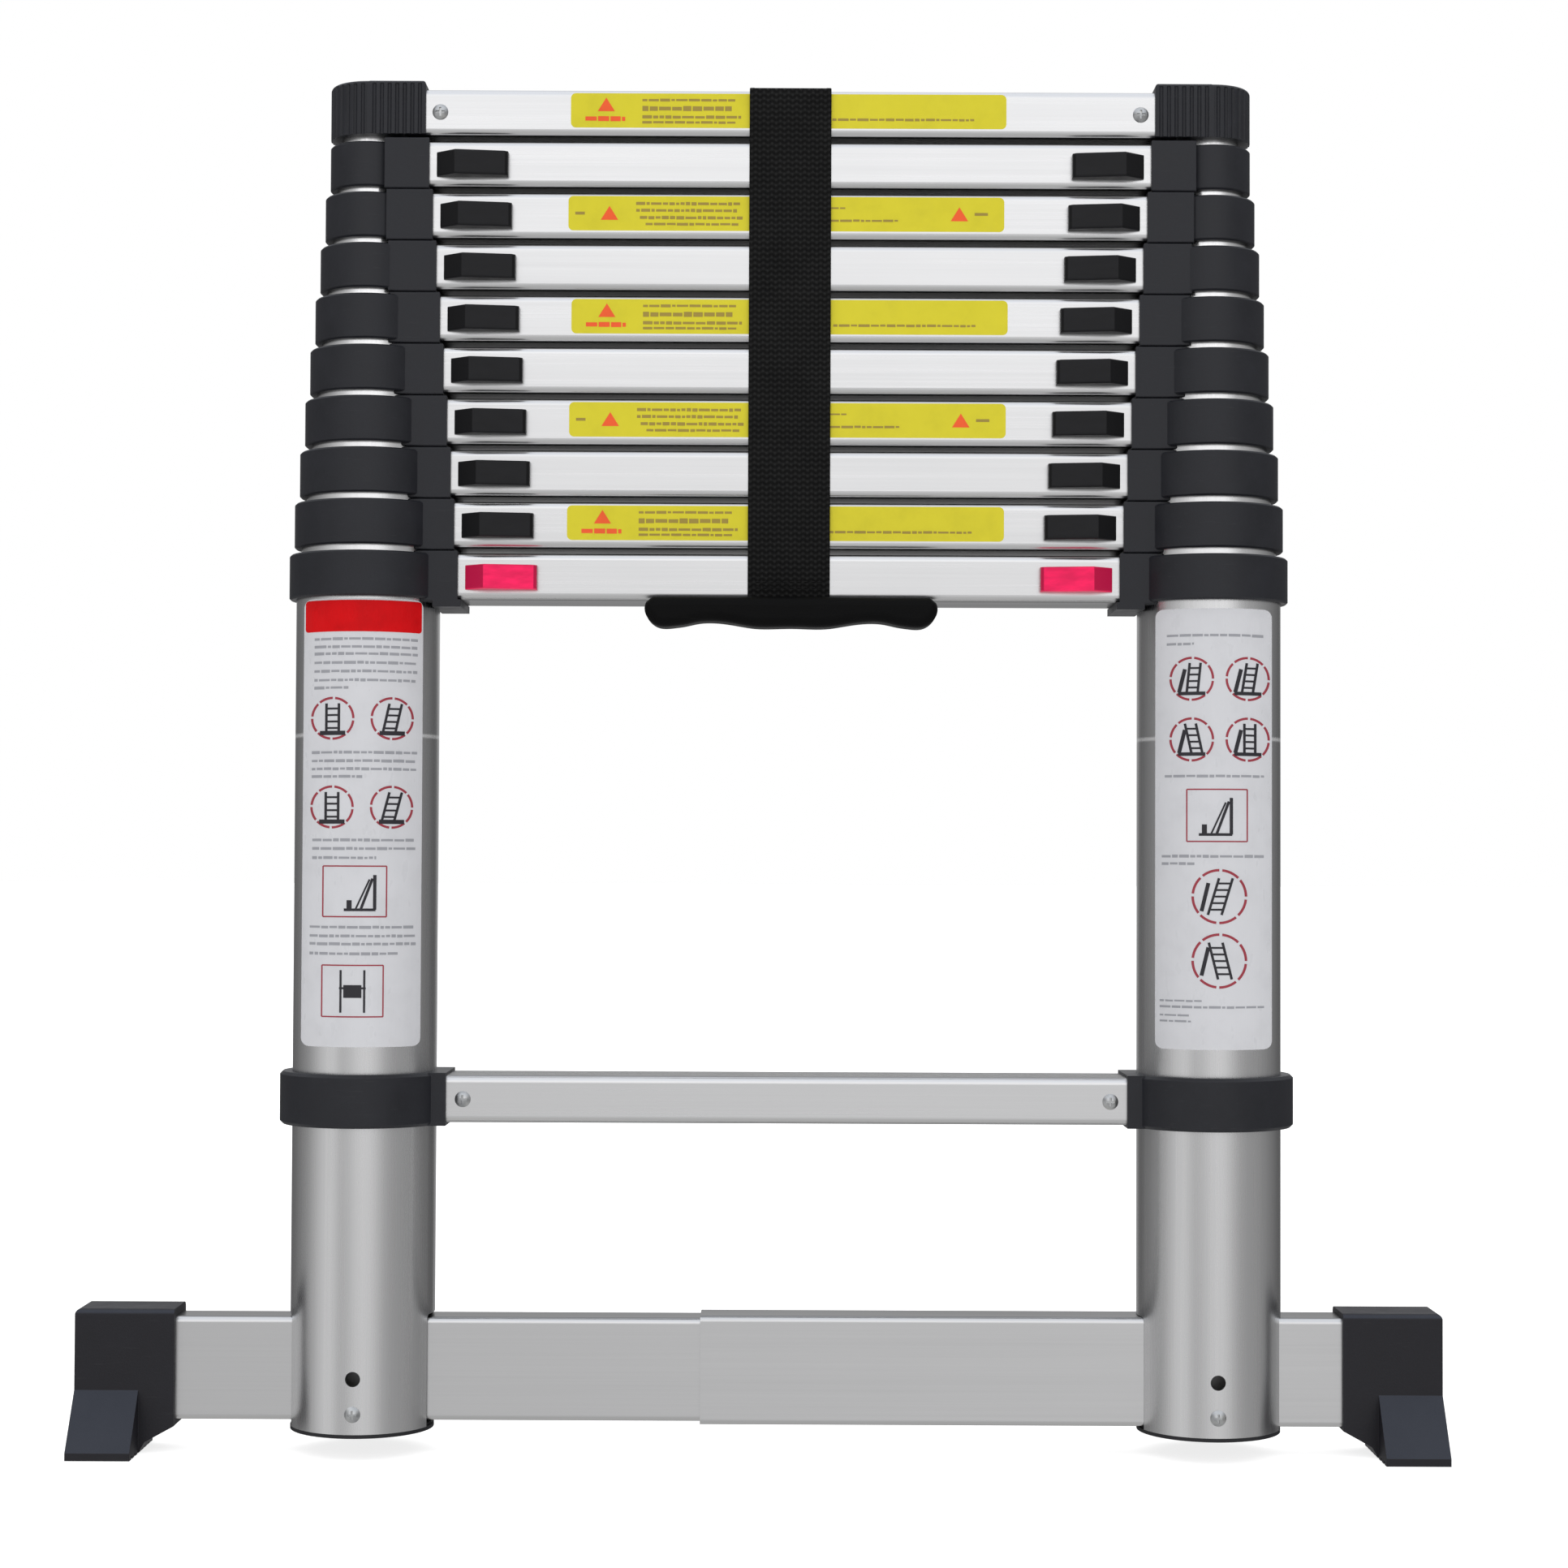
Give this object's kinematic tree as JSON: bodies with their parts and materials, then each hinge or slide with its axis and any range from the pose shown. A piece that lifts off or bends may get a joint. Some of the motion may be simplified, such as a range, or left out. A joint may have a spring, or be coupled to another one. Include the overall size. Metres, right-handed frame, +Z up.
{
  "type": "extension ladder",
  "caption": "Closed telescopic extension ladder: nested round stiles, flat rungs with thumb-slide latches, a fixed low rung, and a stabiliser bar with rubber feet.",
  "frame": {"origin": "on the floor, midway between the outer ends of the two feet and midway front to back", "axes": "+Z up the stiles, +X along the rungs to the right as seen from the front, -Y towards the front with the thumb slides"},
  "size_m": [0.715, 0.0886, 0.7208],
  "materials": {
    "anodised_tube": "brushed satin anodised tube",
    "extruded_rung": "satin extrusion with a grooved tread",
    "stabiliser_profile": "satin extrusion with fine lengthwise lines",
    "black_moulding": "fine-textured glass-filled nylon",
    "black_slide": "smooth thumb slide with a steel pin",
    "red_slide": "glossy pink-red thumb slide with a steel pin",
    "zinc_steel": "zinc-plated screw and rivet",
    "foot_rubber": "matt moulded rubber",
    "webbing": "woven polyester webbing",
    "handle_grip": "soft-touch moulded grip"
  },
  "bodies": {
    "section_01": {"stile_tubes_01": "anodised_tube", "rung_01": "extruded_rung", "collars_01": "black_moulding", "fixed_rung": "extruded_rung", "fixed_rung_collars": "black_moulding", "stabiliser_bar_left": "stabiliser_profile", "stabiliser_bar_right": "stabiliser_profile", "foot_left": "foot_rubber", "foot_right": "foot_rubber", "base_plugs": "black_moulding", "base_fasteners": "zinc_steel", "strap_tail": "webbing"},
    "section_02": {"stile_tubes_02": "anodised_tube", "rung_02": "extruded_rung", "collars_02": "black_moulding"},
    "section_03": {"stile_tubes_03": "anodised_tube", "rung_03": "extruded_rung", "collars_03": "black_moulding"},
    "section_04": {"stile_tubes_04": "anodised_tube", "rung_04": "extruded_rung", "collars_04": "black_moulding"},
    "section_05": {"stile_tubes_05": "anodised_tube", "rung_05": "extruded_rung", "collars_05": "black_moulding"},
    "section_06": {"stile_tubes_06": "anodised_tube", "rung_06": "extruded_rung", "collars_06": "black_moulding"},
    "section_07": {"stile_tubes_07": "anodised_tube", "rung_07": "extruded_rung", "collars_07": "black_moulding"},
    "section_08": {"stile_tubes_08": "anodised_tube", "rung_08": "extruded_rung", "collars_08": "black_moulding"},
    "section_09": {"stile_tubes_09": "anodised_tube", "rung_09": "extruded_rung", "collars_09": "black_moulding"},
    "section_10": {"stile_tubes_10": "anodised_tube", "rung_10": "extruded_rung", "top_caps": "black_moulding", "top_rung_screws": "zinc_steel", "strap_band": "webbing", "carry_handle": "handle_grip"},
    "latch_01_left": {"latch_01_left": "red_slide"},
    "latch_01_right": {"latch_01_right": "red_slide"},
    "latch_02_left": {"latch_02_left": "black_slide"},
    "latch_02_right": {"latch_02_right": "black_slide"},
    "latch_03_left": {"latch_03_left": "black_slide"},
    "latch_03_right": {"latch_03_right": "black_slide"},
    "latch_04_left": {"latch_04_left": "black_slide"},
    "latch_04_right": {"latch_04_right": "black_slide"},
    "latch_05_left": {"latch_05_left": "black_slide"},
    "latch_05_right": {"latch_05_right": "black_slide"},
    "latch_06_left": {"latch_06_left": "black_slide"},
    "latch_06_right": {"latch_06_right": "black_slide"},
    "latch_07_left": {"latch_07_left": "black_slide"},
    "latch_07_right": {"latch_07_right": "black_slide"},
    "latch_08_left": {"latch_08_left": "black_slide"},
    "latch_08_right": {"latch_08_right": "black_slide"},
    "latch_09_left": {"latch_09_left": "black_slide"},
    "latch_09_right": {"latch_09_right": "black_slide"}
  },
  "joints": [
    {"name": "extend_02", "type": "slide", "parent": "section_01", "child": "section_02", "axis": [0, 0, 1], "range_m": [0, 0.2463]},
    {"name": "extend_03", "type": "slide", "parent": "section_02", "child": "section_03", "axis": [0, 0, 1], "range_m": [0, 0.2463]},
    {"name": "extend_04", "type": "slide", "parent": "section_03", "child": "section_04", "axis": [0, 0, 1], "range_m": [0, 0.2463]},
    {"name": "extend_05", "type": "slide", "parent": "section_04", "child": "section_05", "axis": [0, 0, 1], "range_m": [0, 0.2463]},
    {"name": "extend_06", "type": "slide", "parent": "section_05", "child": "section_06", "axis": [0, 0, 1], "range_m": [0, 0.2463]},
    {"name": "extend_07", "type": "slide", "parent": "section_06", "child": "section_07", "axis": [0, 0, 1], "range_m": [0, 0.2463]},
    {"name": "extend_08", "type": "slide", "parent": "section_07", "child": "section_08", "axis": [0, 0, 1], "range_m": [0, 0.2463]},
    {"name": "extend_09", "type": "slide", "parent": "section_08", "child": "section_09", "axis": [0, 0, 1], "range_m": [0, 0.2463]},
    {"name": "extend_10", "type": "slide", "parent": "section_09", "child": "section_10", "axis": [0, 0, 1], "range_m": [0, 0.2463]},
    {"name": "press_01_left", "type": "slide", "parent": "section_01", "child": "latch_01_left", "axis": [1, 0, 0], "range_m": [0, 0.008], "stiffness_N_per_m": 300, "springref_m": -0.004},
    {"name": "press_01_right", "type": "slide", "parent": "section_01", "child": "latch_01_right", "axis": [-1, 0, 0], "range_m": [0, 0.008], "stiffness_N_per_m": 300, "springref_m": -0.004},
    {"name": "press_02_left", "type": "slide", "parent": "section_02", "child": "latch_02_left", "axis": [1, 0, 0], "range_m": [0, 0.008], "stiffness_N_per_m": 300, "springref_m": -0.004},
    {"name": "press_02_right", "type": "slide", "parent": "section_02", "child": "latch_02_right", "axis": [-1, 0, 0], "range_m": [0, 0.008], "stiffness_N_per_m": 300, "springref_m": -0.004},
    {"name": "press_03_left", "type": "slide", "parent": "section_03", "child": "latch_03_left", "axis": [1, 0, 0], "range_m": [0, 0.008], "stiffness_N_per_m": 300, "springref_m": -0.004},
    {"name": "press_03_right", "type": "slide", "parent": "section_03", "child": "latch_03_right", "axis": [-1, 0, 0], "range_m": [0, 0.008], "stiffness_N_per_m": 300, "springref_m": -0.004},
    {"name": "press_04_left", "type": "slide", "parent": "section_04", "child": "latch_04_left", "axis": [1, 0, 0], "range_m": [0, 0.008], "stiffness_N_per_m": 300, "springref_m": -0.004},
    {"name": "press_04_right", "type": "slide", "parent": "section_04", "child": "latch_04_right", "axis": [-1, 0, 0], "range_m": [0, 0.008], "stiffness_N_per_m": 300, "springref_m": -0.004},
    {"name": "press_05_left", "type": "slide", "parent": "section_05", "child": "latch_05_left", "axis": [1, 0, 0], "range_m": [0, 0.008], "stiffness_N_per_m": 300, "springref_m": -0.004},
    {"name": "press_05_right", "type": "slide", "parent": "section_05", "child": "latch_05_right", "axis": [-1, 0, 0], "range_m": [0, 0.008], "stiffness_N_per_m": 300, "springref_m": -0.004},
    {"name": "press_06_left", "type": "slide", "parent": "section_06", "child": "latch_06_left", "axis": [1, 0, 0], "range_m": [0, 0.008], "stiffness_N_per_m": 300, "springref_m": -0.004},
    {"name": "press_06_right", "type": "slide", "parent": "section_06", "child": "latch_06_right", "axis": [-1, 0, 0], "range_m": [0, 0.008], "stiffness_N_per_m": 300, "springref_m": -0.004},
    {"name": "press_07_left", "type": "slide", "parent": "section_07", "child": "latch_07_left", "axis": [1, 0, 0], "range_m": [0, 0.008], "stiffness_N_per_m": 300, "springref_m": -0.004},
    {"name": "press_07_right", "type": "slide", "parent": "section_07", "child": "latch_07_right", "axis": [-1, 0, 0], "range_m": [0, 0.008], "stiffness_N_per_m": 300, "springref_m": -0.004},
    {"name": "press_08_left", "type": "slide", "parent": "section_08", "child": "latch_08_left", "axis": [1, 0, 0], "range_m": [0, 0.008], "stiffness_N_per_m": 300, "springref_m": -0.004},
    {"name": "press_08_right", "type": "slide", "parent": "section_08", "child": "latch_08_right", "axis": [-1, 0, 0], "range_m": [0, 0.008], "stiffness_N_per_m": 300, "springref_m": -0.004},
    {"name": "press_09_left", "type": "slide", "parent": "section_09", "child": "latch_09_left", "axis": [1, 0, 0], "range_m": [0, 0.008], "stiffness_N_per_m": 300, "springref_m": -0.004},
    {"name": "press_09_right", "type": "slide", "parent": "section_09", "child": "latch_09_right", "axis": [-1, 0, 0], "range_m": [0, 0.008], "stiffness_N_per_m": 300, "springref_m": -0.004}
  ]
}
